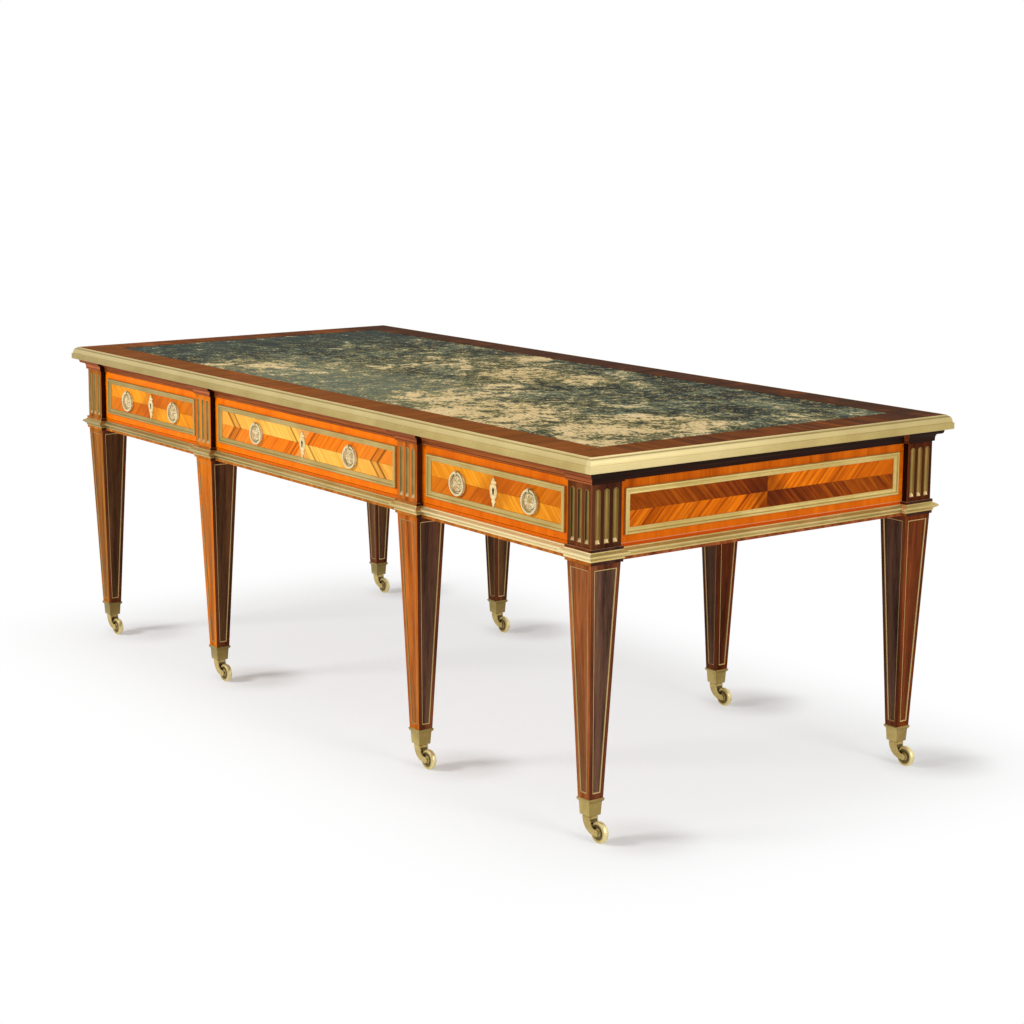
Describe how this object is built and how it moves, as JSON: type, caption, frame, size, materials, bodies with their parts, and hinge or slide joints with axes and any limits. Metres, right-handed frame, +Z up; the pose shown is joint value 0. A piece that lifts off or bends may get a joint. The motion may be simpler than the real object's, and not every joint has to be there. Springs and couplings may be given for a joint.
{
  "type": "bureau plat",
  "caption": "Long flat-topped writing table with a leather top, frieze drawers with ring pulls, brass mouldings and square tapered legs on casters.",
  "frame": {"origin": "on the floor, under the middle of the top", "axes": "+X along the length to the right as seen from the drawers, drawers face -Y, +Z up"},
  "size_m": [2.192, 1.009, 0.78],
  "materials": {
    "kingwood": "polished",
    "tulipwood": "polished",
    "oak": "plain",
    "leather": "worn",
    "brass": "satin",
    "gilt": "gilded",
    "iron": "plain"
  },
  "bodies": {
    "desk": {"top_board": "kingwood", "leather_inset": "leather", "top_edge_moulding": "brass", "cornice_moulding": "kingwood", "corner_legs": "kingwood", "middle_legs": "kingwood", "leg_stringing": "brass", "pilaster_flutes": "brass", "drawer_rails": "tulipwood", "end_panels": "tulipwood", "back_panels": "tulipwood", "panel_frames": "brass", "base_moulding": "brass", "apron_fillets": "kingwood", "partitions": "oak", "drawer_runners": "oak", "sabots": "brass"},
    "left_drawer": {"left_drawer_front": "tulipwood", "left_drawer_box": "oak", "left_drawer_frame": "brass", "left_drawer_pull_plates": "gilt", "left_drawer_escutcheon": "gilt", "left_drawer_lock": "iron"},
    "left_drawer_ring_left": {"left_drawer_ring_left": "gilt"},
    "left_drawer_ring_right": {"left_drawer_ring_right": "gilt"},
    "left_drawer_bolt": {"left_drawer_bolt": "iron"},
    "middle_drawer": {"middle_drawer_front": "tulipwood", "middle_drawer_box": "oak", "middle_drawer_frame": "brass", "middle_drawer_pull_plates": "gilt", "middle_drawer_escutcheon": "gilt", "middle_drawer_lock": "iron"},
    "middle_drawer_ring_left": {"middle_drawer_ring_left": "gilt"},
    "middle_drawer_ring_right": {"middle_drawer_ring_right": "gilt"},
    "middle_drawer_bolt": {"middle_drawer_bolt": "iron"},
    "right_drawer": {"right_drawer_front": "tulipwood", "right_drawer_box": "oak", "right_drawer_frame": "brass", "right_drawer_pull_plates": "gilt", "right_drawer_escutcheon": "gilt", "right_drawer_lock": "iron"},
    "right_drawer_ring_left": {"right_drawer_ring_left": "gilt"},
    "right_drawer_ring_right": {"right_drawer_ring_right": "gilt"},
    "right_drawer_bolt": {"right_drawer_bolt": "iron"},
    "caster_front_left_fork": {"caster_front_left_fork": "brass"},
    "caster_front_left_wheel": {"caster_front_left_wheel": "brass"},
    "caster_front_middle_left_fork": {"caster_front_middle_left_fork": "brass"},
    "caster_front_middle_left_wheel": {"caster_front_middle_left_wheel": "brass"},
    "caster_front_middle_right_fork": {"caster_front_middle_right_fork": "brass"},
    "caster_front_middle_right_wheel": {"caster_front_middle_right_wheel": "brass"},
    "caster_front_right_fork": {"caster_front_right_fork": "brass"},
    "caster_front_right_wheel": {"caster_front_right_wheel": "brass"},
    "caster_back_left_fork": {"caster_back_left_fork": "brass"},
    "caster_back_left_wheel": {"caster_back_left_wheel": "brass"},
    "caster_back_middle_left_fork": {"caster_back_middle_left_fork": "brass"},
    "caster_back_middle_left_wheel": {"caster_back_middle_left_wheel": "brass"},
    "caster_back_middle_right_fork": {"caster_back_middle_right_fork": "brass"},
    "caster_back_middle_right_wheel": {"caster_back_middle_right_wheel": "brass"},
    "caster_back_right_fork": {"caster_back_right_fork": "brass"},
    "caster_back_right_wheel": {"caster_back_right_wheel": "brass"}
  },
  "joints": [
    {"name": "left_drawer_slide", "type": "slide", "parent": "desk", "child": "left_drawer", "axis": [0, -1, 0], "range_m": [0, 0.42]},
    {"name": "left_drawer_ring_left_swing", "type": "hinge", "parent": "left_drawer", "child": "left_drawer_ring_left", "pos_m": [-0.8574, -0.4655, 0.68], "axis": [-1, 0, 0], "range_deg": [0, 85]},
    {"name": "left_drawer_ring_right_swing", "type": "hinge", "parent": "left_drawer", "child": "left_drawer_ring_right", "pos_m": [-0.6114, -0.4655, 0.68], "axis": [-1, 0, 0], "range_deg": [0, 85]},
    {"name": "left_drawer_bolt_throw", "type": "slide", "parent": "left_drawer", "child": "left_drawer_bolt", "axis": [0, 0, 1], "range_m": [0, 0.007]},
    {"name": "middle_drawer_slide", "type": "slide", "parent": "desk", "child": "middle_drawer", "axis": [0, -1, 0], "range_m": [0, 0.42]},
    {"name": "middle_drawer_ring_left_swing", "type": "hinge", "parent": "middle_drawer", "child": "middle_drawer_ring_left", "pos_m": [-0.203, -0.4655, 0.68], "axis": [-1, 0, 0], "range_deg": [0, 85]},
    {"name": "middle_drawer_ring_right_swing", "type": "hinge", "parent": "middle_drawer", "child": "middle_drawer_ring_right", "pos_m": [0.203, -0.4655, 0.68], "axis": [-1, 0, 0], "range_deg": [0, 85]},
    {"name": "middle_drawer_bolt_throw", "type": "slide", "parent": "middle_drawer", "child": "middle_drawer_bolt", "axis": [0, 0, 1], "range_m": [0, 0.007]},
    {"name": "right_drawer_slide", "type": "slide", "parent": "desk", "child": "right_drawer", "axis": [0, -1, 0], "range_m": [0, 0.42]},
    {"name": "right_drawer_ring_left_swing", "type": "hinge", "parent": "right_drawer", "child": "right_drawer_ring_left", "pos_m": [0.6114, -0.4655, 0.68], "axis": [-1, 0, 0], "range_deg": [0, 85]},
    {"name": "right_drawer_ring_right_swing", "type": "hinge", "parent": "right_drawer", "child": "right_drawer_ring_right", "pos_m": [0.8574, -0.4655, 0.68], "axis": [-1, 0, 0], "range_deg": [0, 85]},
    {"name": "right_drawer_bolt_throw", "type": "slide", "parent": "right_drawer", "child": "right_drawer_bolt", "axis": [0, 0, 1], "range_m": [0, 0.007]},
    {"name": "caster_front_left_swivel", "type": "hinge", "parent": "desk", "child": "caster_front_left_fork", "pos_m": [-1.027, -0.4355, 0.05], "axis": [0, 0, 1], "continuous": true},
    {"name": "caster_front_left_roll", "type": "hinge", "parent": "caster_front_left_fork", "child": "caster_front_left_wheel", "pos_m": [-0.997, -0.4355, 0.022], "axis": [0, 1, 0], "continuous": true},
    {"name": "caster_front_middle_left_swivel", "type": "hinge", "parent": "desk", "child": "caster_front_middle_left_fork", "pos_m": [-0.4418, -0.4355, 0.05], "axis": [0, 0, 1], "continuous": true},
    {"name": "caster_front_middle_left_roll", "type": "hinge", "parent": "caster_front_middle_left_fork", "child": "caster_front_middle_left_wheel", "pos_m": [-0.4118, -0.4355, 0.022], "axis": [0, 1, 0], "continuous": true},
    {"name": "caster_front_middle_right_swivel", "type": "hinge", "parent": "desk", "child": "caster_front_middle_right_fork", "pos_m": [0.4418, -0.4355, 0.05], "axis": [0, 0, 1], "continuous": true},
    {"name": "caster_front_middle_right_roll", "type": "hinge", "parent": "caster_front_middle_right_fork", "child": "caster_front_middle_right_wheel", "pos_m": [0.4718, -0.4355, 0.022], "axis": [0, 1, 0], "continuous": true},
    {"name": "caster_front_right_swivel", "type": "hinge", "parent": "desk", "child": "caster_front_right_fork", "pos_m": [1.027, -0.4355, 0.05], "axis": [0, 0, 1], "continuous": true},
    {"name": "caster_front_right_roll", "type": "hinge", "parent": "caster_front_right_fork", "child": "caster_front_right_wheel", "pos_m": [1.057, -0.4355, 0.022], "axis": [0, 1, 0], "continuous": true},
    {"name": "caster_back_left_swivel", "type": "hinge", "parent": "desk", "child": "caster_back_left_fork", "pos_m": [-1.027, 0.4355, 0.05], "axis": [0, 0, 1], "continuous": true},
    {"name": "caster_back_left_roll", "type": "hinge", "parent": "caster_back_left_fork", "child": "caster_back_left_wheel", "pos_m": [-0.997, 0.4355, 0.022], "axis": [0, 1, 0], "continuous": true},
    {"name": "caster_back_middle_left_swivel", "type": "hinge", "parent": "desk", "child": "caster_back_middle_left_fork", "pos_m": [-0.4418, 0.4355, 0.05], "axis": [0, 0, 1], "continuous": true},
    {"name": "caster_back_middle_left_roll", "type": "hinge", "parent": "caster_back_middle_left_fork", "child": "caster_back_middle_left_wheel", "pos_m": [-0.4118, 0.4355, 0.022], "axis": [0, 1, 0], "continuous": true},
    {"name": "caster_back_middle_right_swivel", "type": "hinge", "parent": "desk", "child": "caster_back_middle_right_fork", "pos_m": [0.4418, 0.4355, 0.05], "axis": [0, 0, 1], "continuous": true},
    {"name": "caster_back_middle_right_roll", "type": "hinge", "parent": "caster_back_middle_right_fork", "child": "caster_back_middle_right_wheel", "pos_m": [0.4718, 0.4355, 0.022], "axis": [0, 1, 0], "continuous": true},
    {"name": "caster_back_right_swivel", "type": "hinge", "parent": "desk", "child": "caster_back_right_fork", "pos_m": [1.027, 0.4355, 0.05], "axis": [0, 0, 1], "continuous": true},
    {"name": "caster_back_right_roll", "type": "hinge", "parent": "caster_back_right_fork", "child": "caster_back_right_wheel", "pos_m": [1.057, 0.4355, 0.022], "axis": [0, 1, 0], "continuous": true}
  ]
}
